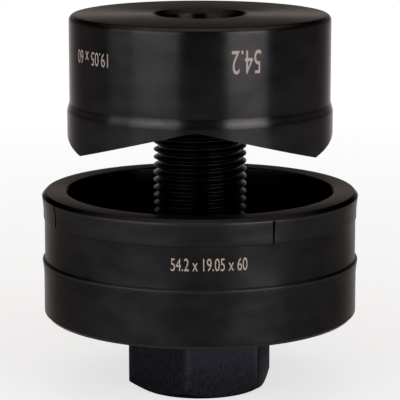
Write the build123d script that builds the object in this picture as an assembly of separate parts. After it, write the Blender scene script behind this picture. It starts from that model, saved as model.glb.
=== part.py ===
from build123d import *
import math
import os

# Knockout punch for sheet steel: a three-point punch is drawn into a cup-shaped die by a
# hexagon-headed bolt, and the bolt's head runs on a thrust ball bearing under the die.
# Millimetres, +Z up, origin at the centre of the bolt head's lower face, front towards -Y.

# Hole that punch and die shear between them
hole_diameter = 54.2
shear_clearance = 0.15

# Punch: cutting points below, threaded bore through the middle
point_count = 3
point_depth = 7.03
cutting_land = 7.7
body_relief = 0.5
relief_rise = 1.75
punch_height = 27.15
crown_radius = 1.2
valley_radius = 3.0

# Space for the sheet, from the die's face up to the cutting points
sheet_gap = 9.05

# Die: one turned cup with a cutting bore above and a pocket for the bearing below
die_wall = 4.9
cavity_depth = 12.8
web_thickness = 5.5
bore_land = 7.0
bore_relief = 0.6
bore_edge = 0.3
cavity_floor_radius = 2.0
rim_chamfer = 0.8
foot_chamfer = 0.85
rim_band = 5.35
waist_band = 8.25
waist_step = 0.2
shoulder_height = 0.45
band_lip = 0.3
band_lip_fade = 2.4

# Four scribed lines that centre the die on a marked-out cross
mark_count = 4
mark_width = 0.4
mark_depth = 0.35
mark_turn = 28.2

# Draw bolt, threaded 3/4 inch with 16 turns to the inch
thread_diameter = 19.05
thread_pitch = 1.5875
bolt_length = 60.0
guide_clearance = 0.08
head_across_flats = 27.0
head_height = 12.7
head_chamfer_face = 25.6
head_chamfer_angle = 30.0
head_collar = 0.5
head_fillet = 0.6
head_turn = -8.5

# Thrust ball bearing
ball_count = 12
ball_diameter = 5.5
ball_clearance = 0.05
race_thickness = 3.3
race_shoulder = 1.2
race_edge = 0.5
groove_depth = 1.1
groove_margin = 0.15
seat_clearance = 0.1
running_clearance = 0.5
bearing_stand_out = 2.5
pocket_clearance = 0.12
cage_wall = 0.55

# Radii that follow
punch_radius = hole_diameter / 2
body_radius = punch_radius - body_relief
die_bore_radius = punch_radius + shear_clearance
cavity_radius = die_bore_radius + bore_relief
die_radius = die_bore_radius + die_wall
waist_radius = die_radius - waist_step
lip_radius = die_radius + band_lip
bolt_radius = thread_diameter / 2
thread_depth = 0.6134 * thread_pitch
guide_radius = bolt_radius + guide_clearance
ball_radius = ball_diameter / 2
ball_path_radius = guide_radius + race_shoulder + ball_radius
race_radius = guide_radius + 2 * race_shoulder + ball_diameter
groove_radius = ball_radius + groove_margin
cage_pocket_radius = ball_radius + pocket_clearance

# Levels that follow, from the bolt head's lower face upwards
race_gap = ball_diameter + 2 * ball_clearance - 2 * groove_depth
bearing_bottom = head_height
ball_level = bearing_bottom + race_thickness + race_gap / 2
bearing_top = ball_level + race_gap / 2 + race_thickness
die_bottom = bearing_bottom + bearing_stand_out
cavity_floor = bearing_top + web_thickness
die_top = cavity_floor + cavity_depth
rim_bottom = die_top - rim_band
waist_bottom = rim_bottom - waist_band
point_level = die_top + sheet_gap
land_top = point_level + cutting_land
punch_top = point_level + punch_height
bolt_end = head_height + bolt_length


def turned(points, *cuts):
    """Spin an outline of (radius, height) points about Z, less any flat shapes cut from it."""
    outline = make_face(Plane.XZ * Polyline(*points, close=True))
    for cut in cuts:
        outline -= Plane.XZ * cut
    return revolve(outline, Axis.Z)


def circles_at(solid, radius, level):
    """The circular edges of a turned solid that have this radius and height."""
    found = [
        edge
        for edge in solid.edges().filter_by(GeomType.CIRCLE)
        if abs(edge.radius - radius) < 0.01 and abs(edge.center().Z - level) < 0.01
    ]
    return ShapeList(found)


def valley_tent():
    """The stock that one grinding pass removes: a roof whose ridge is a valley of the punch.

    Neighbouring passes meet in the cutting points. Each valley runs uphill from the bolt
    to the rim, so the points reach the sheet first and the cut spreads from there.
    """
    half_turn = math.radians(180 / point_count)
    slope = point_depth / (punch_radius * (math.cos(half_turn) - math.cos(2 * half_turn)))
    centre_level = point_level - slope * punch_radius * math.cos(2 * half_turn)
    climb = slope * math.cos(half_turn)
    fall = slope * math.sin(half_turn)
    reach = 1.5 * punch_radius
    eave = -fall * reach
    floor = eave - climb * reach - 2 * point_depth
    start = Plane(
        origin=(0, reach, centre_level - climb * reach),
        x_dir=(1, 0, 0),
        z_dir=(0, -1, 0),
    )
    roof = Polyline((0, 0), (reach, eave), (reach, floor), (-reach, floor), (-reach, eave), close=True)
    length = 2 * reach * math.hypot(1, climb)
    tent = extrude(start * make_face(roof), length, dir=(0, -1, climb))
    ridge = tent.edges().sort_by_distance((0, 0, centre_level))[0]
    return fillet(ridge, valley_radius)


def make_punch():
    blank = turned(
        [
            (0, point_level),
            (punch_radius, point_level),
            (punch_radius, land_top),
            (body_radius, land_top + relief_rise),
            (body_radius, punch_top),
            (0, punch_top),
        ]
    )
    blank = fillet(circles_at(blank, body_radius, punch_top), crown_radius)
    tent = valley_tent()
    for number in range(point_count):
        blank -= Rot(0, 0, 360 / point_count * number) * tent
    bore = Pos(0, 0, (point_level + punch_top) / 2) * Cylinder(guide_radius, 2 * punch_height)
    return blank - bore


def scribed_marks():
    """Narrow cuts down the rim band, evenly spaced."""
    height = rim_band - rim_chamfer
    cut = Pos(die_radius, 0, rim_bottom + height / 2) * Box(2 * mark_depth, mark_width, height)
    return [Rot(0, 0, mark_turn - 90 + 360 / mark_count * number) * cut for number in range(mark_count)]


def make_die():
    pocket_radius = race_radius + seat_clearance
    step_level = die_top - bore_land
    cup = turned(
        [
            (guide_radius, bearing_top),
            (guide_radius, cavity_floor),
            (cavity_radius, cavity_floor),
            (cavity_radius, step_level - bore_relief),
            (die_bore_radius, step_level),
            (die_bore_radius, die_top - bore_edge),
            (die_bore_radius + bore_edge, die_top),
            (lip_radius - rim_chamfer, die_top),
            (lip_radius, die_top - rim_chamfer),
            (die_radius, die_top - rim_chamfer - band_lip_fade),
            (die_radius, rim_bottom),
            (waist_radius, rim_bottom),
            (waist_radius, waist_bottom),
            (lip_radius, waist_bottom - shoulder_height),
            (die_radius, waist_bottom - shoulder_height - band_lip_fade),
            (die_radius, die_bottom + foot_chamfer),
            (die_radius - foot_chamfer, die_bottom),
            (pocket_radius + race_edge, die_bottom),
            (pocket_radius, die_bottom + race_edge),
            (pocket_radius, bearing_top),
        ]
    )
    cup = fillet(circles_at(cup, cavity_radius, cavity_floor), cavity_floor_radius)
    for mark in scribed_marks():
        cup -= mark
    return cup


def make_bolt():
    corner_radius = head_across_flats / math.sqrt(3)
    chamfer_rise = (corner_radius - head_chamfer_face / 2) * math.tan(math.radians(head_chamfer_angle))
    hexagon = RegularPolygon(head_across_flats / 2, 6, major_radius=False, rotation=head_turn - 90)
    head = extrude(hexagon, head_height)
    head &= turned(
        [
            (0, 0),
            (head_chamfer_face / 2, 0),
            (corner_radius, chamfer_rise),
            (corner_radius, head_height - head_collar),
            (head_chamfer_face / 2, head_height - head_collar),
            (head_chamfer_face / 2, head_height),
            (0, head_height),
        ]
    )
    shank = turned(
        [
            (0, head_height - head_collar),
            (bolt_radius, head_height - head_collar),
            (bolt_radius, bolt_end - thread_depth),
            (bolt_radius - thread_depth, bolt_end),
            (0, bolt_end),
        ]
    )
    bolt = head + shank
    return fillet(circles_at(bolt, bolt_radius, head_height), head_fillet)


def make_race(bore_radius, outer_radius, outside, inside):
    """A bearing washer from its outside level to its grooved inside level."""
    up = 1 if inside > outside else -1
    relief = head_fillet + seat_clearance
    groove_level = ball_level + up * (groove_margin - ball_clearance)
    return turned(
        [
            (bore_radius + relief, outside),
            (outer_radius - race_edge, outside),
            (outer_radius, outside + up * race_edge),
            (outer_radius, inside),
            (bore_radius, inside),
            (bore_radius, outside + up * relief),
        ],
        Pos(ball_path_radius, groove_level) * Circle(groove_radius),
    )


def make_die_washer():
    bore_radius = guide_radius + running_clearance
    return make_race(bore_radius, race_radius, bearing_top, ball_level + race_gap / 2)


def make_head_washer():
    outer_radius = race_radius - running_clearance
    return make_race(guide_radius, outer_radius, bearing_bottom, ball_level - race_gap / 2)


def ball_places():
    return [
        Rot(0, 0, 360 / ball_count * number) * Pos(ball_path_radius, 0, ball_level)
        for number in range(ball_count)
    ]


def make_cage():
    thickness = race_gap - 2 * running_clearance
    ring_width = cage_pocket_radius + cage_wall
    cage = Cylinder(ball_path_radius + ring_width, thickness)
    cage -= Cylinder(ball_path_radius - ring_width, thickness)
    cage = Pos(0, 0, ball_level) * cage
    for place in ball_places():
        cage -= place * Cylinder(cage_pocket_radius, 2 * thickness)
    return cage


def make_parts():
    parts = {
        "punch": make_punch(),
        "die": make_die(),
        "draw_bolt": make_bolt(),
        "bearing_die_washer": make_die_washer(),
        "bearing_head_washer": make_head_washer(),
        "bearing_cage": make_cage(),
    }
    for number, place in enumerate(ball_places(), start=1):
        parts[f"bearing_ball_{number:02d}"] = place * Sphere(ball_radius)
    return parts


os.makedirs("parts", exist_ok=True)
for name, solid in make_parts().items():
    export_step(solid, f"parts/{name}.step")
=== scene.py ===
# %% [markdown]
# # A knockout punch
#
# A knockout punch shears a round hole in sheet steel. A pointed punch is drawn into a cup-shaped
# die by a bolt, and the bolt's head turns on a ball bearing under the die. Every piece is steel,
# most of it blackened, so the picture lives on soft reflections, crisp turned edges and a real thread.
#
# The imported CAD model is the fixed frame. Everything below is placed from its sizes.

# %% load the frame
import bpy
import math
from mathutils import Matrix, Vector


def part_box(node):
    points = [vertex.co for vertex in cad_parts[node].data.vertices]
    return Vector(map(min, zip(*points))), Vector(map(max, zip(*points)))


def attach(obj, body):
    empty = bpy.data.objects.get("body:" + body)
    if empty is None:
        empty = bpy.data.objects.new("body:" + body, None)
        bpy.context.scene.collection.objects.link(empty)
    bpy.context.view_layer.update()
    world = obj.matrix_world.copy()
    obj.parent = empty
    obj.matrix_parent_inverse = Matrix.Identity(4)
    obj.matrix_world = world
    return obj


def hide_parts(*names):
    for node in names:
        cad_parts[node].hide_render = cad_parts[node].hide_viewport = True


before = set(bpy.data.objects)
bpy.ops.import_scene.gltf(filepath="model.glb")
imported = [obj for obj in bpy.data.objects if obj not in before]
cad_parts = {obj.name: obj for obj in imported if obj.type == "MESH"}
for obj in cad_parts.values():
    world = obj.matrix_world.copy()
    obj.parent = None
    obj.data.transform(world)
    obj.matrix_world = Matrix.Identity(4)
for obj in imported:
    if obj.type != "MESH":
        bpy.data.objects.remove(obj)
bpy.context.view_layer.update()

MM = 0.001
print("nodes", len(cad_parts))

# %% [markdown]
# ## Sizes
#
# The heights and outer radii are read from the frame, so a piece made here lies where the CAD
# piece lies. What the boxes can't tell, such as a chamfer or a step, is a named size in
# millimetres, beside the piece that has it.

# %% sizes from the frame, in millimetres
def corners(node):
    """Lowest and highest corner of a CAD node, in millimetres."""
    low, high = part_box(node)
    return low / MM, high / MM


punch_low, punch_high = corners("punch")
die_low, die_high = corners("die")
bolt_high = corners("draw_bolt")[1]
upper_washer_high = corners("bearing_die_washer")[1]
lower_washer_low = corners("bearing_head_washer")[0]
print("punch", round(punch_low.z, 2), "to", round(punch_high.z, 2), "radius", round(punch_high.x, 2))
print("die", round(die_low.z, 2), "to", round(die_high.z, 2), "radius", round(die_high.x, 2))

# %% [markdown]
# ## Helpers for modelling
#
# An operator acts on everything that is selected, so each helper starts by selecting one piece.
# A finished piece keeps its place in its mesh and its object at the origin, as the CAD nodes do.
# Pieces are cut with the Boolean modifier's exact solver, which needs closed solids and leaves
# closed solids.

# %% small helpers
def start_alone():
    """Nothing stays selected, so the next operator acts on the new piece only."""
    bpy.ops.object.select_all(action="DESELECT")


def select_only(piece):
    start_alone()
    piece.select_set(True)
    bpy.context.view_layer.objects.active = piece


def apply_modifiers(piece):
    select_only(piece)
    for modifier in list(piece.modifiers):
        bpy.ops.object.modifier_apply(modifier=modifier.name)


def settle(piece):
    """The place goes into the mesh and the object to the origin."""
    select_only(piece)
    bpy.ops.object.transform_apply(location=True, rotation=True, scale=True)


def combine(piece, tool, operation):
    """A Boolean of two closed solids, applied. The tool is used up."""
    modifier = piece.modifiers.new("cut", "BOOLEAN")
    modifier.operation = operation
    modifier.solver = "EXACT"
    modifier.object = tool
    apply_modifiers(piece)
    bpy.data.objects.remove(tool)


def say(piece):
    size = " x ".join(f"{side / MM:.2f}" for side in piece.dimensions)
    print(piece.name, len(piece.data.polygons), "faces,", size, "mm")


# %% [markdown]
# ## The lathe
#
# A lathe makes nearly all of this tool, so one helper works like a lathe: it starts with a circle,
# and extrudes that ring from point to point of an outline. Each point says how much its edge is
# rounded, and a Bevel modifier reads that as a bevel weight. The Spin operator could do the same
# from a flat profile, but the rings keep their edges selected, which makes the weights easy to set.

# %% how fine the lathe works
# Steps round a full turn and across a rounded edge, and the distance at which two points are one
RIM_STEPS = 192
ROUNDING_STEPS = 4
SAME_PLACE = 0.001 * MM

# Every machined edge is broken at least this much, in millimetres, so that it catches the light
edge_break = 0.08


# %% the lathe
def turned(name, outline, hollow):
    """A turned piece. The outline is (radius, height, rounding) in mm; a hollow one closes on itself."""
    widest = max(rounding for _, _, rounding in outline)
    radius, height, rounding = outline[0]
    start_alone()
    fill = "NOTHING" if hollow else "NGON"
    bpy.ops.mesh.primitive_circle_add(
        vertices=RIM_STEPS, radius=radius * MM, fill_type=fill, location=(0, 0, height * MM)
    )
    piece = bpy.context.object
    piece.name = name
    settle(piece)
    bpy.ops.object.mode_set(mode="EDIT")
    bpy.ops.mesh.select_all(action="SELECT")
    bpy.ops.transform.edge_bevelweight(value=rounding / widest)
    for next_radius, next_height, rounding in outline[1:] + (outline[:1] if hollow else []):
        climb = (next_height - height) * MM
        bpy.ops.mesh.extrude_region_move(TRANSFORM_OT_translate={"value": (0, 0, climb)})
        share = next_radius / radius
        bpy.ops.transform.resize(value=(share, share, 1), center_override=(0, 0, 0))
        # The new ring inherits the last one's weight, which comes off before its own goes on
        bpy.ops.transform.edge_bevelweight(value=-1)
        bpy.ops.transform.edge_bevelweight(value=rounding / widest)
        radius, height = next_radius, next_height
    bpy.ops.mesh.select_all(action="SELECT")
    bpy.ops.mesh.remove_doubles(threshold=SAME_PLACE)
    bpy.ops.mesh.normals_make_consistent(inside=False)
    bpy.ops.object.mode_set(mode="OBJECT")
    edges = piece.modifiers.new("rounded edges", "BEVEL")
    edges.limit_method = "WEIGHT"
    edges.width = widest * MM
    edges.segments = ROUNDING_STEPS
    edges.use_clamp_overlap = False
    apply_modifiers(piece)
    return piece


# %% [markdown]
# ## The thread
#
# The draw bolt is 3/4 inch with 16 turns to the inch: a new turn every 1.5875 mm, flanks at 60
# degrees. Rings stacked on a rod would look alike from afar, but a real thread climbs, and the
# two sides of the rod are half a turn apart in the picture. So one pitch of the profile is drawn
# and the Screw modifier winds it up. The first turn's height decides where the crests fall.

# %% thread sizes
# Steps round a full turn and across a rounded crest, and how exact the two end cuts are, in metres
WINDING_STEPS = 72
CREST_STEPS = 2
CUT_TOLERANCE = 1e-8

thread_pitch = 1.5875
thread_depth = 0.975
flank_slope = math.tan(math.radians(30))
crest_flat = 0.2
crest_round = 0.05
bolt_radius = 9.525
crest_level = 40.67


# %% a threaded rod
def threaded_rod(name, bottom, top):
    """A right-hand threaded rod, cut square at both ends. A crest passes +X at crest_level."""
    flank = thread_depth * flank_slope
    root = thread_pitch - crest_flat - 2 * flank
    turns_below = math.ceil((crest_level - bottom) / thread_pitch) + 1
    start = crest_level - (turns_below + 0.5) * thread_pitch
    start_alone()
    seed_place = ((bolt_radius - thread_depth) * MM, 0, start * MM)
    bpy.ops.mesh.primitive_plane_add(size=1 * MM, location=seed_place)
    rod = bpy.context.object
    rod.name = name
    settle(rod)
    # The plane shrinks to one vertex, and that is extruded along the profile
    bpy.ops.object.mode_set(mode="EDIT")
    bpy.ops.mesh.select_all(action="SELECT")
    bpy.ops.mesh.merge(type="CENTER")
    to_crest = [(0, root / 2), (thread_depth, flank), (0, crest_flat)]
    to_root = [(-thread_depth, flank), (0, root / 2)]
    for across, up in to_crest + to_root:
        bpy.ops.mesh.extrude_region_move(TRANSFORM_OT_translate={"value": (across * MM, 0, up * MM)})
    bpy.ops.object.mode_set(mode="OBJECT")
    # Only the corners inside the pitch are rounded, since its two ends have to meet
    end_zone = 0.1 * thread_pitch
    for vertex in rod.data.vertices:
        vertex.select = start + end_zone < vertex.co.z / MM < start + thread_pitch - end_zone
    bpy.ops.object.mode_set(mode="EDIT")
    bpy.ops.mesh.bevel(affect="VERTICES", offset=crest_round * MM, segments=CREST_STEPS)
    bpy.ops.object.mode_set(mode="OBJECT")
    winding = rod.modifiers.new("winding", "SCREW")
    winding.axis = "Z"
    winding.screw_offset = thread_pitch * MM
    winding.iterations = math.ceil((top - start) / thread_pitch) + 2
    winding.steps = WINDING_STEPS
    winding.render_steps = WINDING_STEPS
    apply_modifiers(rod)
    bpy.ops.object.mode_set(mode="EDIT")
    bpy.ops.mesh.select_all(action="SELECT")
    bpy.ops.mesh.remove_doubles(threshold=SAME_PLACE)
    for level, upper in ((bottom, False), (top, True)):
        bpy.ops.mesh.select_all(action="SELECT")
        bpy.ops.mesh.bisect(
            plane_co=(0, 0, level * MM),
            plane_no=(0, 0, 1),
            use_fill=True,
            clear_outer=upper,
            clear_inner=not upper,
            threshold=CUT_TOLERANCE,
        )
    bpy.ops.mesh.select_all(action="SELECT")
    bpy.ops.mesh.normals_make_consistent(inside=False)
    bpy.ops.object.mode_set(mode="OBJECT")
    return rod


# %% [markdown]
# ## The draw bolt
#
# Head, plain shank and thread are one forging. The head starts as a six-sided cylinder. Its lower
# corners are turned off at 30 degrees, so a turned envelope is intersected with it, which leaves
# the curved edges that every real hexagon head has. The thread's end is chamfered the same way.

# %% sizes of the hexagon head
HEAD_EDGE_STEPS = 2
across_flats = 27.0
head_height = lower_washer_low.z
head_turn = -8.5
head_chamfer_radius = 12.8
head_collar = 0.5
head_edge = 0.18
corner_radius = across_flats / math.sqrt(3)
clear_of_corners = corner_radius + 1
chamfer_slope = math.tan(math.radians(30))

# Faces of one curved chamfer meet at less than this angle, and stay unbevelled
bevelled_from = math.radians(25)


# %% the hexagon head
def make_head():
    start_alone()
    bpy.ops.mesh.primitive_cylinder_add(
        vertices=6,
        radius=corner_radius * MM,
        depth=head_height * MM,
        location=(0, 0, head_height / 2 * MM),
        rotation=(0, 0, math.radians(head_turn)),
    )
    head = bpy.context.object
    head.name = "hexagon_head"
    settle(head)
    envelope = turned(
        "envelope",
        [
            (head_chamfer_radius, 0, edge_break),
            (clear_of_corners, (clear_of_corners - head_chamfer_radius) * chamfer_slope, edge_break),
            (clear_of_corners, head_height - head_collar, edge_break),
            (head_chamfer_radius, head_height - head_collar, edge_break),
            (head_chamfer_radius, head_height, edge_break),
        ],
        hollow=False,
    )
    combine(head, envelope, "INTERSECT")
    edges = head.modifiers.new("soft edges", "BEVEL")
    edges.width = head_edge * MM
    edges.segments = HEAD_EDGE_STEPS
    edges.angle_limit = bevelled_from
    edges.use_clamp_overlap = False
    apply_modifiers(head)
    return head


# %% sizes of the shank and the thread's ends
cavity_depth = 12.8
cavity_floor = die_high.z - cavity_depth
thread_above_floor = 0.8
thread_start = cavity_floor + thread_above_floor
end_chamfer = 1.1
shank_fillet = 0.6
fillet_round = 0.3
runout_round = 0.1
bar_round = 0.02

# A Boolean goes wrong where two surfaces lie on each other, so a solid stands proud of the one that
# it is cut with, runs over its end, or leaves a small gap
proud = 0.1
overrun = 1
gap_to_shoulder = 0.02


# %% shank, thread and end chamfer
def make_draw_bolt():
    bolt = make_head()
    bolt.name = "draw_bolt_threaded"
    core_drop = thread_depth + proud
    shank = turned(
        "shank",
        [
            (bolt_radius + shank_fillet, head_height - overrun, 0),
            (bolt_radius + shank_fillet, head_height, 0),
            (bolt_radius, head_height + shank_fillet, fillet_round),
            (bolt_radius, thread_start, runout_round),
            (bolt_radius - core_drop, thread_start + core_drop, 0),
        ],
        hollow=False,
    )
    combine(bolt, shank, "UNION")
    thread_bottom = thread_start + gap_to_shoulder
    thread = threaded_rod("thread", thread_bottom, bolt_high.z + overrun)
    bar = turned(
        "bar",
        [
            (bolt_radius + proud, thread_start - overrun, bar_round),
            (bolt_radius + proud, bolt_high.z - end_chamfer, bar_round),
            (bolt_radius + proud - end_chamfer, bolt_high.z, edge_break),
        ],
        hollow=False,
    )
    combine(thread, bar, "INTERSECT")
    combine(bolt, thread, "UNION")
    say(bolt)
    return bolt


draw_bolt = make_draw_bolt()

# %% [markdown]
# ## The punch
#
# The real punch is turned, drilled, ground and tapped. Here it is turned with its bore, and then
# ground. Three grinding passes leave the shear face: each one is a roof-shaped cutter whose ridge is
# a rounded valley, and neighbouring valleys meet in the three cutting points. A cylinder with three
# sides is such a roof. The bore stays as the drill left it and has no thread of its own, so the
# bolt's crests run into its wall, inside the punch. Tapping it is left to do.

# %% sizes of the punch
VALLEY_STEPS = 8
point_count = 3
point_rise = 7.03
cutting_land = 7.7
relief_rise = 1.75
body_relief = 0.5
crown_round = 1.2
land_round = 0.25
mouth_round = 0.05
throat_round = 0.03
valley_round = 3.0
cut_radius = punch_high.x
body_radius = cut_radius - body_relief
point_level = punch_low.z
land_top = point_level + cutting_land

# %% sizes of the punch's bore
drill_radius = 8.66
countersink_radius = 9.62
stock_below_points = 1.0


# %% the grinding cutter
def make_shear_cutter():
    """A long roof whose ridge leaves one valley. It is tilted, so the valley climbs to the rim."""
    half_turn = math.pi / point_count
    slope = point_rise / (cut_radius * (math.cos(half_turn) - math.cos(2 * half_turn)))
    centre_level = point_level - slope * cut_radius * math.cos(2 * half_turn)
    tilt = math.atan(slope * math.cos(half_turn))
    fall = slope * math.sin(half_turn) * math.cos(tilt)
    reach = 1.5 * cut_radius
    start_alone()
    bpy.ops.mesh.primitive_cylinder_add(
        vertices=3, radius=reach * MM, depth=2 * reach * MM, rotation=(math.pi / 2, 0, 0)
    )
    cutter = bpy.context.object
    settle(cutter)
    low = min(vertex.co.z for vertex in cutter.data.vertices)
    high = max(vertex.co.z for vertex in cutter.data.vertices)
    wide = max(vertex.co.x for vertex in cutter.data.vertices)
    bpy.ops.object.mode_set(mode="EDIT")
    bpy.ops.mesh.select_all(action="SELECT")
    bpy.ops.transform.translate(value=(0, 0, -high))
    stretch = (reach * MM / wide, 1, fall * reach * MM / (high - low))
    bpy.ops.transform.resize(value=stretch, center_override=(0, 0, 0))
    bpy.ops.mesh.select_mode(type="EDGE")
    bpy.ops.mesh.select_all(action="DESELECT")
    bpy.ops.object.mode_set(mode="OBJECT")
    # The ridge is the one edge that lies at height 0
    for edge in cutter.data.edges:
        ends = (cutter.data.vertices[number].co.z for number in edge.vertices)
        edge.select = all(abs(height) < 10 * SAME_PLACE for height in ends)
    bpy.ops.object.mode_set(mode="EDIT")
    # A flank falls by `fall` for each step sideways, so the valley's arc starts this far from the ridge
    tangent = valley_round * fall
    bpy.ops.mesh.bevel(offset=tangent * MM, segments=VALLEY_STEPS, affect="EDGES")
    bpy.ops.object.mode_set(mode="OBJECT")
    cutter.rotation_euler = (-tilt, 0, 0)
    cutter.location = (0, 0, centre_level * MM)
    settle(cutter)
    return cutter


# %% turned and ground
def make_punch():
    stock_bottom = point_level - stock_below_points
    countersink_depth = countersink_radius - drill_radius
    blank = turned(
        "punch_tapped",
        [
            (drill_radius, stock_bottom, 0),
            (cut_radius, stock_bottom, 0),
            (cut_radius, land_top, land_round),
            (body_radius, land_top + relief_rise, land_round),
            (body_radius, punch_high.z, crown_round),
            (countersink_radius, punch_high.z, mouth_round),
            (drill_radius, punch_high.z - countersink_depth, throat_round),
        ],
        hollow=True,
    )
    for number in range(point_count):
        cutter = make_shear_cutter()
        cutter.rotation_euler = (0, 0, math.tau / point_count * number)
        settle(cutter)
        combine(blank, cutter, "DIFFERENCE")
    say(blank)
    return blank


punch = make_punch()

# %% [markdown]
# ## The die
#
# The die is one turned cup. Three bands show on its outside: the rim, a waist that is a little
# smaller, and the base. Tiny lips of 0.3 mm catch the light where the bands meet. Four narrow
# lines are cut down the rim, a quarter turn apart, to line it up with a cross drawn on the sheet.

# %% sizes of the die, from the outside in
lip_radius = die_high.x
band_lip = 0.3
band_lip_fade = 2.4
die_radius = lip_radius - band_lip
waist_step = 0.2
waist_radius = die_radius - waist_step
die_wall = 4.9
bore_radius = die_radius - die_wall
bore_relief = 0.6
cavity_radius = bore_radius + bore_relief
seat_clearance = 0.1
pocket_radius = upper_washer_high.x + seat_clearance
guide_clearance = 0.08
guide_radius = bolt_radius + guide_clearance

# %% sizes of the die, from the top down
rim_chamfer = 0.8
rim_band = 5.35
rim_bottom = die_high.z - rim_band
waist_band = 8.25
waist_bottom = rim_bottom - waist_band
shoulder_height = 0.45
shoulder = waist_bottom - shoulder_height
foot_chamfer = 0.85
bore_edge = 0.3
bore_land = 7.0
bore_step = die_high.z - bore_land
bearing_top = upper_washer_high.z
pocket_edge = 0.5

# %% how much the die's edges are rounded
cutting_round = 0.05
face_round = 0.06
lip_round = 0.12
rim_foot_round = 0.15
shoulder_round = 0.08
bend_round = 0.8
floor_round = 2.0
guide_round = 0.3
seat_round = 0.2

# %% sizes of the centring marks
mark_count = 4
mark_width = 0.55
mark_depth = 0.4
mark_turn = 28.2


# %% one centring mark
def mark_cutter(number):
    height = rim_band - rim_chamfer
    start_alone()
    bpy.ops.mesh.primitive_cube_add(size=1)
    cutter = bpy.context.object
    cutter.scale = (2 * mark_depth * MM, mark_width * MM, height * MM)
    cutter.location = (die_radius * MM, 0, (rim_bottom + height / 2) * MM)
    settle(cutter)
    cutter.rotation_euler = (0, 0, math.radians(mark_turn - 90) + math.tau / mark_count * number)
    settle(cutter)
    return cutter


# %% the cup
def make_die():
    cup = turned(
        "die_cup",
        [
            (guide_radius, bearing_top, edge_break),
            (guide_radius, cavity_floor, guide_round),
            (cavity_radius, cavity_floor, floor_round),
            (cavity_radius, bore_step - bore_relief, edge_break),
            (bore_radius, bore_step, edge_break),
            (bore_radius, die_high.z - bore_edge, cutting_round),
            (bore_radius + bore_edge, die_high.z, cutting_round),
            (lip_radius - rim_chamfer, die_high.z, face_round),
            (lip_radius, die_high.z - rim_chamfer, lip_round),
            (die_radius, die_high.z - rim_chamfer - band_lip_fade, bend_round),
            (die_radius, rim_bottom, rim_foot_round),
            (waist_radius, rim_bottom, face_round),
            (waist_radius, waist_bottom, face_round),
            (lip_radius, shoulder, shoulder_round),
            (die_radius, shoulder - band_lip_fade, bend_round),
            (die_radius, die_low.z + foot_chamfer, lip_round),
            (die_radius - foot_chamfer, die_low.z, lip_round),
            (pocket_radius + pocket_edge, die_low.z, edge_break),
            (pocket_radius, die_low.z + pocket_edge, edge_break),
            (pocket_radius, bearing_top, seat_round),
        ],
        hollow=True,
    )
    for number in range(mark_count):
        combine(cup, mark_cutter(number), "DIFFERENCE")
    say(cup)
    return cup


die = make_die()

# %% [markdown]
# ## Plain size numbers
#
# Such tools carry their sizes, burnt in with a laser: thin, pale and matt on the black skin. Here
# they are plain numbers, the hole's diameter and the bolt's, and nothing else. Text could be an
# image, but as a mesh it stays sharp close up. It becomes a mesh first, is laid round the wall
# after that, and gets a hair of thickness, as the burnt oxide has.

# %% numbers laid round a cylinder
CAPITAL_SHARE = 0.7
mark_thickness = 0.02


def laser_mark(name, text, cap_height, narrowing, radius, level, turn, upside_down):
    """Text round the Z axis. turn is in degrees from the front, to the right."""
    start_alone()
    bpy.ops.object.text_add()
    mark = bpy.context.object
    mark.name = name
    mark.data.body = text
    mark.data.align_x = "CENTER"
    mark.data.align_y = "CENTER"
    mark.data.size = cap_height / CAPITAL_SHARE * MM
    bpy.ops.object.convert(target="MESH")
    mark = bpy.context.object
    mark.scale = (narrowing, 1, 1)
    mark.rotation_euler = (0, 0, math.pi if upside_down else 0)
    settle(mark)
    for vertex in mark.data.vertices:
        angle = math.radians(turn) + vertex.co.x / (radius * MM)
        height = level * MM + vertex.co.y
        reach = (radius + mark_thickness) * MM
        vertex.co = (reach * math.sin(angle), -reach * math.cos(angle), height)
    skin = mark.modifiers.new("skin", "SOLIDIFY")
    skin.thickness = 2 * mark_thickness * MM
    skin.offset = -1
    apply_modifiers(mark)
    say(mark)
    return mark


# %% the marks on punch and die
hole_size = f"{2 * cut_radius:.1f}"
bolt_size = f"{2 * bolt_radius:.2f} x {bolt_high.z - head_height:.0f}"
punch_mark = laser_mark(
    "punch_size_numbers",
    hole_size,
    cap_height=4.6,
    narrowing=0.56,
    radius=body_radius,
    level=70.8,
    turn=21.8,
    upside_down=True,
)
punch_bolt_mark = laser_mark(
    "punch_bolt_numbers",
    bolt_size,
    cap_height=2.7,
    narrowing=0.68,
    radius=body_radius,
    level=70.2,
    turn=-51.2,
    upside_down=True,
)
die_mark = laser_mark(
    "die_size_numbers",
    f"{hole_size} x {bolt_size}",
    cap_height=2.5,
    narrowing=0.6,
    radius=waist_radius,
    level=32.0,
    turn=5.2,
    upside_down=False,
)

# %% [markdown]
# ## Materials
#
# Colours are written as hex values, the way a picture editor shows them, and one function turns
# them to the linear numbers that Blender works with. One small function adds a node.

# %% colour and node helpers
def linear(hex_colour):
    channels = [int(hex_colour[i:i + 2], 16) / 255 for i in (1, 3, 5)]
    bent = [c / 12.92 if c <= 0.04045 else ((c + 0.055) / 1.055) ** 2.4 for c in channels]
    return (*bent, 1)


def add(tree, kind, inputs=None, **settings):
    """Adds a node. A value that is a socket is linked, and any other is set."""
    node = tree.nodes.new(kind)
    for name, value in settings.items():
        setattr(node, name, value)
    for name, value in (inputs or {}).items():
        if isinstance(value, bpy.types.NodeSocket):
            tree.links.new(value, node.inputs[name])
        else:
            node.inputs[name].default_value = value
    return node


def new_material(name):
    material = bpy.data.materials.new(name)
    material.use_nodes = True
    tree = material.node_tree
    return material, tree, tree.nodes["Principled BSDF"]


# %% [markdown]
# ### Coordinates of a lathe
#
# A turned surface is patterned round its axis. From the Object coordinates come the distance from
# the axis and the length round it, and a noise that is stretched along that length gives the fine
# rings that the tool leaves. On a wall the rings follow the height, on a face the radius, and
# their sum serves both.

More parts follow.
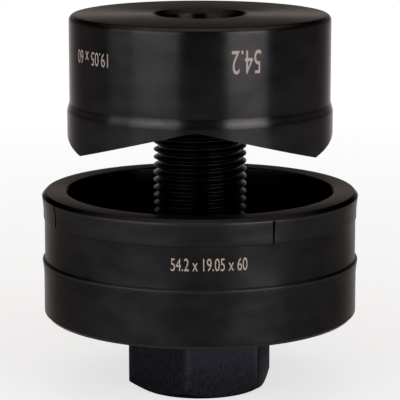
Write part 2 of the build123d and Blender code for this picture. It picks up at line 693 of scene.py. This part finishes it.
# %% lathe coordinates
# The length round the axis is measured as on a wall of about the die's radius, in millimetres
PATTERN_RADIUS = 30.0


def lathe_coordinates(tree):
    """Sockets, in millimetres: a point (round, across, 0) for the rings, and one (radius, height, 0)."""
    place = add(tree, "ShaderNodeTexCoord").outputs["Object"]
    to_mm = {0: place, 1: (1 / MM, 1 / MM, 1 / MM)}
    scaled = add(tree, "ShaderNodeVectorMath", to_mm, operation="MULTIPLY").outputs[0]
    parts = add(tree, "ShaderNodeSeparateXYZ", {0: scaled}).outputs
    sides = {0: parts["Y"], 1: parts["X"]}
    angle = add(tree, "ShaderNodeMath", sides, operation="ARCTAN2").outputs[0]
    flat = add(tree, "ShaderNodeVectorMath", {0: scaled, 1: (1, 1, 0)}, operation="MULTIPLY").outputs[0]
    radius = add(tree, "ShaderNodeVectorMath", {0: flat}, operation="LENGTH").outputs["Value"]
    arc = add(tree, "ShaderNodeMath", {0: angle, 1: PATTERN_RADIUS}, operation="MULTIPLY").outputs[0]
    across = add(tree, "ShaderNodeMath", {0: radius, 1: parts["Z"]}, operation="ADD").outputs[0]
    rings = add(tree, "ShaderNodeCombineXYZ", {0: arc, 1: across}).outputs[0]
    section = add(tree, "ShaderNodeCombineXYZ", {0: radius, 1: parts["Z"]}).outputs[0]
    return rings, section


def stretched_noise(tree, point, along, across, detail, seed):
    """Noise whose grain is along mm long round the axis and across mm wide."""
    size = (1 / along, 1 / across, 1)
    scaled = add(tree, "ShaderNodeVectorMath", {0: point, 1: size}, operation="MULTIPLY").outputs[0]
    inputs = {"Vector": scaled, "W": seed, "Scale": 1.0, "Detail": detail}
    return add(tree, "ShaderNodeTexNoise", inputs, noise_dimensions="4D").outputs["Fac"]


# Paler edges: rubbed bare steel, and on punch and die also a painted highlight where the edges catch the
# light.
def wear_and_highlight_edges(tree, section, edges, reach):
    """1 on the turned edges listed as (radius, height), fading to 0 at reach mm from them."""
    wear_and_highlight = None
    for radius, height in edges:
        ends = {0: section, 1: (radius, height, 0)}
        away = add(tree, "ShaderNodeVectorMath", ends, operation="DISTANCE").outputs["Value"]
        limits = {"Value": away, "From Max": reach, "To Min": 1.0, "To Max": 0.0}
        near = add(tree, "ShaderNodeMapRange", limits).outputs["Result"]
        if wear_and_highlight is None:
            wear_and_highlight = near
        else:
            wear_and_highlight = add(tree, "ShaderNodeMath", {0: wear_and_highlight, 1: near}, operation="MAXIMUM").outputs[0]
    return wear_and_highlight


# %% [markdown]
# ### Blackened steel
#
# Punch, die and bolt are steel with a black conversion skin about a thousandth of a millimetre
# thick: magnetite from a hot bath, or phosphate on the forged head. It could be a black paint with
# a coat, but a skin this thin lets the metal through, so it is a very dark metal. Its colour is
# what is seen straight on, Specular Tint is what it mirrors at a low angle, and Anisotropic with a
# tangent round the axis pulls each light out into the tall band that turned steel shows.
#
# Three noises make it less even: clouds from the bath in colour and roughness, feed rings as a
# bump, and patches on edges that are painted paler: rubbed bare steel, and on punch and die also a
# painted highlight. Real feed marks are 0.05 to 0.1 mm apart, too fine to show here, so the rings are drawn
# 0.35 mm wide.

# %% sizes of the pattern on blackened steel, in millimetres
ring_length = 60.0
ring_width = 0.35
patch_length = 3.0
patch_width = 0.8


# %% blackened steel
def blackened_steel(
    name, dark, light, sheen, roughness, blotch, ring_depth, anisotropy, edges, bare_and_highlight="#504d4b",
    reach=0.5, grain=(9.0, 4.0)
):
    """Clouds from dark to light, rings ring_depth mm deep, and edges painted paler over reach mm: bare
    steel, and on punch and die also a painted highlight.
    """
    material, tree, shader = new_material(name)
    point, section = lathe_coordinates(tree)
    cloud = stretched_noise(tree, point, *grain, detail=4.0, seed=1.0)
    rings = stretched_noise(tree, point, ring_length, ring_width, detail=2.0, seed=2.0)
    wear_and_glint_patches = stretched_noise(tree, point, patch_length, patch_width, detail=2.0, seed=5.0)
    skin = add(tree, "ShaderNodeValToRGB", {"Fac": cloud})
    skin.color_ramp.elements[0].position = 0.35
    skin.color_ramp.elements[0].color = linear(dark)
    skin.color_ramp.elements[1].position = 0.7
    skin.color_ramp.elements[1].color = linear(light)
    # Edges painted paler: worn steel, and on punch and die also a painted highlight.
    wear_and_highlight = wear_and_highlight_edges(tree, section, edges, reach)
    patchy = add(tree, "ShaderNodeMath", {0: wear_and_highlight, 1: wear_and_glint_patches}, operation="MULTIPLY").outputs[0]
    layers = {0: patchy, 6: skin.outputs["Color"], 7: linear(bare_and_highlight)}
    colour = add(tree, "ShaderNodeMix", layers, data_type="RGBA").outputs[2]
    tree.links.new(colour, shader.inputs["Base Color"])
    limits = {
        "Value": cloud,
        "From Min": 0.3,
        "From Max": 0.7,
        "To Min": roughness - blotch,
        "To Max": roughness + blotch,
    }
    spread = add(tree, "ShaderNodeMapRange", limits).outputs["Result"]
    tree.links.new(spread, shader.inputs["Roughness"])
    bump = add(tree, "ShaderNodeBump", {"Height": rings, "Strength": 1.0, "Distance": ring_depth * MM})
    tree.links.new(bump.outputs["Normal"], shader.inputs["Normal"])
    shader.inputs["Metallic"].default_value = 1.0
    shader.inputs["Specular Tint"].default_value = linear(sheen)
    shader.inputs["Anisotropic"].default_value = anisotropy
    shader.inputs["Anisotropic Rotation"].default_value = 0.25
    tangent = add(tree, "ShaderNodeTangent", direction_type="RADIAL", axis="Z")
    tree.links.new(tangent.outputs["Tangent"], shader.inputs["Tangent"])
    print("material", name)
    return material


# %% the edges that are painted paler, as (radius, height): rubbed bare, and on punch and die a painted highlight too
crown_inset = 0.35
# On the punch the relief cone and the crown are painted paler: partly wear, partly a painted highlight
# where they catch the light.
punch_edges = [
    ((cut_radius + body_radius) / 2, land_top + relief_rise / 2),
    (body_radius - crown_inset, punch_high.z - crown_inset),
]
# On the die the rim chamfer, the shoulder and the foot chamfer are painted paler: partly wear, and partly a
# painted highlight, which on the foot chamfer stands in for light from the floor.
die_edges = [
    (lip_radius, die_high.z - rim_chamfer),
    (lip_radius, shoulder),
    (die_radius - foot_chamfer / 2, die_low.z + foot_chamfer / 2),
]

# A corner of the hexagon is an upright edge, so it is a row of points 1 mm apart
head_edges = [(corner_radius, level) for level in range(3, 12)]
thread_edges = [(bolt_radius, bolt_high.z - 1)]

# %% the walls of punch and die
# Black oxide on finely turned steel gives the punch a satin wall with two clear bands of light,
# and a paler grey-brown relief shoulder: partly wear, partly a painted highlight.
punch_steel = blackened_steel(
    "black_oxide_turned_fine",
    dark="#1d1c1d",
    light="#262526",
    sheen="#c4c1c0",
    roughness=0.27,
    blotch=0.02,
    ring_depth=0.002,
    anisotropy=0.8,
    edges=punch_edges,
    bare_and_highlight="#403d3c",
    reach=1.0,
)

# Black oxide on a coarser turned wall gives the rim wider, softer bands and faint clouds, and its edges a
# painted highlight with some wear.
die_steel = blackened_steel(
    "black_oxide_turned",
    dark="#201f20",
    light="#272627",
    sheen="#c4c1c0",
    roughness=0.35,
    blotch=0.025,
    ring_depth=0.003,
    anisotropy=0.7,
    edges=die_edges,
    bare_and_highlight="#3d3a3a",
    grain=(7.0, 4.0),
)

# The same skin is darker and duller below the rim: less shine, more cloud.
waist_steel = blackened_steel(
    "black_oxide_turned_dull",
    dark="#1b1a1b",
    light="#242324",
    sheen="#c4c1c0",
    roughness=0.37,
    blotch=0.03,
    ring_depth=0.003,
    anisotropy=0.7,
    edges=die_edges,
    bare_and_highlight="#3d3a3a",
    grain=(6.0, 4.0),
)

# %% faces, bores and the thread
# Black oxide on a faced end: rings about the axis spread each light into a soft fan.
faced_steel = blackened_steel(
    "black_oxide_faced",
    dark="#201e1d",
    light="#272524",
    sheen="#d0cbc9",
    roughness=0.29,
    blotch=0.02,
    ring_depth=0.001,
    anisotropy=0.9,
    edges=die_edges,
    bare_and_highlight="#444141",
)

# Black oxide in a bore, smooth, with a narrow shine. Its low sheen darkens the cup's inside and
# the scribed lines on the rim: painted shade in these hollows.
bored_and_shaded_steel = blackened_steel(
    "black_oxide_bored_shaded",
    dark="#1c1b1c",
    light="#222122",
    sheen="#a8a6a6",
    roughness=0.2,
    blotch=0.02,
    ring_depth=0.001,
    anisotropy=0.0,
    edges=die_edges,
    bare_and_highlight="#444141",
)

# Black oxide on a cut thread, darker than the other skins, so that only the crests glint.
thread_steel = blackened_steel(
    "black_oxide_thread",
    dark="#101011",
    light="#151516",
    sheen="#dededf",
    roughness=0.28,
    blotch=0.02,
    ring_depth=0.002,
    anisotropy=0.8,
    edges=thread_edges,
)

# %% the forged head
# Phosphate on forged steel is crystalline: a matt, slightly blue black with a fine mottle, paler
# on the corners that the spanner rubs.
head_steel = blackened_steel(
    "black_phosphate",
    dark="#121216",
    light="#202026",
    sheen="#7e7e84",
    roughness=0.42,
    blotch=0.08,
    ring_depth=0.005,
    anisotropy=0.4,
    edges=head_edges,
    bare_and_highlight="#2b2b31",
    reach=0.7,
    grain=(0.7, 1.4),
)

# %% [markdown]
# ### Bearing steel
#
# Washers and balls are hardened bearing steel and have no black skin, and the cage is pressed from
# sheet. They are seen only through the gaps, so a bright metal with fine grinding rings in its
# roughness and bump is enough. The rings are drawn 0.3 mm wide, coarser than real grinding.

# %% sizes of the grinding rings, in millimetres
grinding_length = 80.0
grinding_width = 0.3


# %% bright bearing steel
def bearing_steel(name, colour, roughness, ring_depth):
    """Bright steel with rings ring_depth mm deep and a roughness that varies by a fifth."""
    material, tree, shader = new_material(name)
    point = lathe_coordinates(tree)[0]
    rings = stretched_noise(tree, point, grinding_length, grinding_width, detail=2.0, seed=3.0)
    shader.inputs["Base Color"].default_value = linear(colour)
    shader.inputs["Metallic"].default_value = 1.0
    limits = {"Value": rings, "To Min": roughness * 0.8, "To Max": roughness * 1.2}
    spread = add(tree, "ShaderNodeMapRange", limits).outputs["Result"]
    tree.links.new(spread, shader.inputs["Roughness"])
    bump = add(tree, "ShaderNodeBump", {"Height": rings, "Strength": 1.0, "Distance": ring_depth * MM})
    tree.links.new(bump.outputs["Normal"], shader.inputs["Normal"])
    print("material", name)
    return material


# Ground washers are bright with a satin grain, polished balls mirror the room, and the pressed
# cage is grey and dull.
race_steel = bearing_steel("ground_bearing_steel", "#b9b8b6", roughness=0.28, ring_depth=0.002)
ball_steel = bearing_steel("polished_ball_steel", "#c9c9ca", roughness=0.08, ring_depth=0.0)
cage_steel = bearing_steel("pressed_cage_steel", "#8e8d8c", roughness=0.38, ring_depth=0.002)

# %% [markdown]
# ### The laser's mark
#
# A marking laser burns the black skin off in small overlapping dots and leaves pale, warm, matt
# oxide. A flat colour would look printed, so a fine speckle varies it. Real dots are about 0.05 mm
# wide, too fine to show here, so the speckle is drawn 0.25 mm wide.

# %% laser mark
speckle_width = 0.25


def laser_oxide(name):
    """Pale burnt oxide, speckled, with no metal shine."""
    material, tree, shader = new_material(name)
    place = add(tree, "ShaderNodeTexCoord").outputs["Object"]
    speckle = {"Vector": place, "Scale": 1 / (speckle_width * MM), "Detail": 2.0}
    grain = add(tree, "ShaderNodeTexNoise", speckle).outputs["Fac"]
    colour = add(tree, "ShaderNodeValToRGB", {"Fac": grain})
    colour.color_ramp.elements[0].color = linear("#736860")
    colour.color_ramp.elements[1].color = linear("#9e9188")
    tree.links.new(colour.outputs["Color"], shader.inputs["Base Color"])
    shader.inputs["Roughness"].default_value = 0.65
    print("material", name)
    return material


laser_marking = laser_oxide("laser_marking")

# %% [markdown]
# ## Every piece gets its finish and its body
#
# A piece made here stands for its CAD node, which is then hidden, and rides on the same body. The
# bearing's pieces keep their CAD meshes and only get a better material. Punch, die and bolt carry
# more than one finish, and each face gets the one for its place: a wall, a faced end or a bore. The
# scribed lines on the die's rim get the bore's finish too, as painted shade in the grooves.

# %% finish the modelled pieces
smooth_up_to = math.radians(30)


def finish_piece(piece, material, body, node=None):
    select_only(piece)
    bpy.ops.object.shade_smooth_by_angle(angle=smooth_up_to)
    piece.data.materials.clear()
    piece.data.materials.append(material)
    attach(piece, body)
    if node:
        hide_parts(node)
    print(piece.name, "rides on", body)


def refinish(piece, material, wanted):
    """Gives another finish to the faces for which wanted(face) is true."""
    piece.data.materials.append(material)
    chosen = [face for face in piece.data.polygons if wanted(face)]
    for face in chosen:
        face.material_index = len(piece.data.materials) - 1
    print(piece.name, len(chosen), "faces in", material.name)


# %% which faces get which finish
# A hair, in millimetres, so that rounded numbers don't decide
hair = 0.01


def is_flat(face):
    return face.normal.z > 0.99


def is_threaded(face):
    return face.center.z > head_height * MM


def is_bolt_end(face):
    return is_flat(face) and face.center.z > (bolt_high.z - 0.1) * MM


def is_below_rim(face):
    return face.center.z < rim_bottom * MM


def is_bored(face):
    radius = math.hypot(face.center.x, face.center.y)
    return face.center.z > cavity_floor * MM and radius < (cavity_radius + hair) * MM


def is_scribed(face):
    radius = math.hypot(face.center.x, face.center.y) / MM
    in_the_cut = die_radius - mark_depth < radius < die_radius - 2 * hair
    return in_the_cut and face.center.z > (rim_bottom + hair) * MM


# %% all the pieces
finish_piece(draw_bolt, head_steel, "bolt", "draw_bolt")
finish_piece(punch, punch_steel, "punch", "punch")
finish_piece(die, die_steel, "die", "die")
refinish(draw_bolt, thread_steel, is_threaded)
refinish(draw_bolt, faced_steel, is_bolt_end)
refinish(punch, faced_steel, is_flat)
refinish(die, waist_steel, is_below_rim)
refinish(die, faced_steel, is_flat)
refinish(die, bored_and_shaded_steel, is_bored)
# The scribed lines get the bore's low-sheen finish: painted shade in the grooves.
refinish(die, bored_and_shaded_steel, is_scribed)
finish_piece(punch_mark, laser_marking, "punch")
finish_piece(punch_bolt_mark, laser_marking, "punch")
finish_piece(die_mark, laser_marking, "die")

# %% finish the bearing's CAD pieces
bearing_finish = {
    "bearing_die_washer": race_steel,
    "bearing_head_washer": race_steel,
    "bearing_cage": cage_steel,
}
for node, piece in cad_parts.items():
    material = ball_steel if node.startswith("bearing_ball") else bearing_finish.get(node)
    if material:
        piece.data.materials.clear()
        piece.data.materials.append(material)
        print(node, material.name)

# %% [markdown]
# ## The floor
#
# The floor is white paper. Away from the tool, what looks at it sees a plain white, as on a sweep
# of paper that is lit from behind, while near the tool it keeps the shadow. More light on the tool
# could whiten it too, but would turn the black steel grey. So Light Path picks out what looks at
# the floor, the camera or a mirroring steel, and shows it an emission of strength 1, mixed with the
# lit paper near the tool. Farther off than 1 m the paper dims, as the end of a real sweep does.

# %% sizes of the floor, in metres
FLOOR_STEPS = 96
floor_radius = 3.0
shadow_from = 0.05
shadow_to = 0.35
dimming_from = 1.0

# The share of plain white near the tool, and its strength at the floor's rim
white_near_tool = 0.68
strength_at_rim = 0.35


# %% the floor
def make_floor():
    """White paper: pale and matt, lit by itself only for what looks at it."""
    start_alone()
    bpy.ops.mesh.primitive_circle_add(vertices=FLOOR_STEPS, radius=floor_radius, fill_type="NGON")
    floor = bpy.context.object
    floor.name = "floor"
    material, tree, shader = new_material("white_paper")
    shader.inputs["Base Color"].default_value = linear("#f4f4f4")
    shader.inputs["Roughness"].default_value = 0.9
    rays = add(tree, "ShaderNodeLightPath").outputs
    through_or_off = {0: rays["Is Glossy Ray"], 1: rays["Is Transmission Ray"]}
    mirrored = add(tree, "ShaderNodeMath", through_or_off, operation="MAXIMUM").outputs[0]
    direct_or_mirrored = {0: rays["Is Camera Ray"], 1: mirrored}
    seen = add(tree, "ShaderNodeMath", direct_or_mirrored, operation="MAXIMUM").outputs[0]
    place = add(tree, "ShaderNodeTexCoord").outputs["Object"]
    away = add(tree, "ShaderNodeVectorMath", {0: place}, operation="LENGTH").outputs["Value"]
    limits = {
        "Value": away,
        "From Min": shadow_from,
        "From Max": shadow_to,
        "To Min": white_near_tool,
        "To Max": 1.0,
    }
    fade = add(tree, "ShaderNodeMapRange", limits).outputs["Result"]
    share = add(tree, "ShaderNodeMath", {0: seen, 1: fade}, operation="MULTIPLY").outputs[0]
    far_limits = {
        "Value": away,
        "From Min": dimming_from,
        "From Max": floor_radius,
        "To Min": 1.0,
        "To Max": strength_at_rim,
    }
    brightness = add(tree, "ShaderNodeMapRange", far_limits).outputs["Result"]
    white = add(tree, "ShaderNodeEmission", {"Strength": brightness}).outputs[0]
    paper = add(tree, "ShaderNodeMixShader", {0: share, 1: shader.outputs[0], 2: white})
    tree.links.new(paper.outputs[0], tree.nodes["Material Output"].inputs["Surface"])
    floor.data.materials.append(material)
    print("floor", floor_radius, "m in radius")


make_floor()

# %% [markdown]
# ## The room
#
# Black steel shows little but its surroundings, so the room is drawn for what the steel mirrors.
# It could be one even grey, but then every wall would turn the same grey. Here it is pale low down,
# where a table stands against a wall, most of all behind the tool, dark above that, and pale again
# at the ceiling, which the flat faces mirror.

# %% where the room is pale, as the height of a direction of length 1
strip_from = 0.19
strip_to = 0.32
above_strip = 0.1
ceiling_from = 0.6
ceiling_to = 0.95


# %% the room
def make_room(in_front, behind, ceiling):
    """A dim room. The three numbers are how pale it is low in front, low behind, and overhead."""
    world = bpy.data.worlds.new("studio")
    bpy.context.scene.world = world
    world.use_nodes = True
    tree = world.node_tree
    direction = add(tree, "ShaderNodeTexCoord").outputs["Generated"]
    parts = add(tree, "ShaderNodeSeparateXYZ", {0: direction}).outputs
    wall_limits = {"Value": parts["Y"], "From Min": -1.0, "To Min": in_front, "To Max": behind}
    low_limits = {
        "Value": parts["Z"],
        "From Min": strip_from,
        "From Max": strip_to,
        "To Min": 1.0,
        "To Max": above_strip,
    }
    high_limits = {
        "Value": parts["Z"],
        "From Min": ceiling_from,
        "From Max": ceiling_to,
        "To Max": ceiling,
    }
    wall = add(tree, "ShaderNodeMapRange", wall_limits).outputs["Result"]
    low = add(tree, "ShaderNodeMapRange", low_limits).outputs["Result"]
    high = add(tree, "ShaderNodeMapRange", high_limits).outputs["Result"]
    layers = {0: wall, 1: low, 2: high}
    strength = add(tree, "ShaderNodeMath", layers, operation="MULTIPLY_ADD").outputs[0]
    background = tree.nodes["Background"]
    background.inputs["Color"].default_value = linear("#f6ece7")
    tree.links.new(strength, background.inputs["Strength"])
    print("room", in_front, "in front,", behind, "behind,", ceiling, "overhead")


make_room(in_front=0.22, behind=0.4, ceiling=1.2)

# %% [markdown]
# ## The lights
#
# A soft light stands at the front left and one at the front right, and each gives the walls one
# quiet band. A weaker light beside the left one lets its band fade out slowly. Between them,
# towards the camera, it is darker, so the form reads as round. Their level is plain: a grey card in
# the tool's place renders about as its colour is written.

# %% soft lights
light_target = Vector((0, 0, 0.05))
light_elevation = 15
light_distance = 0.7
light_height = 0.42
light_spread = 120


def soft_light(name, azimuth, width, watts):
    """A rectangular soft light that looks at the tool. Azimuth is from the front, to the right."""
    lamp = bpy.data.lights.new(name, "AREA")
    lamp.shape = "RECTANGLE"
    lamp.size = width
    lamp.size_y = light_height
    lamp.energy = watts
    lamp.spread = math.radians(light_spread)
    stand = bpy.data.objects.new(name, lamp)
    bpy.context.scene.collection.objects.link(stand)
    a = math.radians(azimuth)
    e = math.radians(light_elevation)
    away = Vector((math.sin(a) * math.cos(e), -math.cos(a) * math.cos(e), math.sin(e)))
    stand.location = light_target + away * light_distance
    stand.rotation_euler = (-away).to_track_quat("-Z", "Y").to_euler()
    print("light", name, watts, "W")


soft_light("front_left", azimuth=-37, width=0.53, watts=1.2)
soft_light("side_left", azimuth=-70, width=0.3, watts=0.3)
soft_light("front_right", azimuth=43, width=0.45, watts=1.65)

# %% [markdown]
# ## The camera
#
# The camera stands where the photograph's stood. Its distance, height and turn were found from
# the rims of punch and die, whose ellipses flatten with their height, and its lens from their
# width in pixels.

# %% sizes of the view, in millimetres, degrees and the photograph's pixels
SENSOR_WIDTH = 36
camera_turn = 2.0
camera_distance = 451.3
camera_height = 126.4
aim_height = 38.7
focal_px = 2234
photo_px = 400


# %% the camera
def make_camera():
    lens = bpy.data.cameras.new("camera")
    lens.sensor_width = SENSOR_WIDTH
    lens.lens = SENSOR_WIDTH * focal_px / photo_px
    camera = bpy.data.objects.new("camera", lens)
    bpy.context.scene.collection.objects.link(camera)
    a = math.radians(camera_turn)
    camera.location = Vector((math.sin(a), -math.cos(a), 0)) * camera_distance * MM
    camera.location.z = camera_height * MM
    aim = Vector((0, 0, aim_height * MM))
    camera.rotation_euler = (aim - camera.location).to_track_quat("-Z", "Y").to_euler()
    print("camera lens", round(lens.lens, 1), "mm")
    return camera


bpy.context.scene.camera = make_camera()
bpy.context.scene.view_settings.view_transform = "Standard"
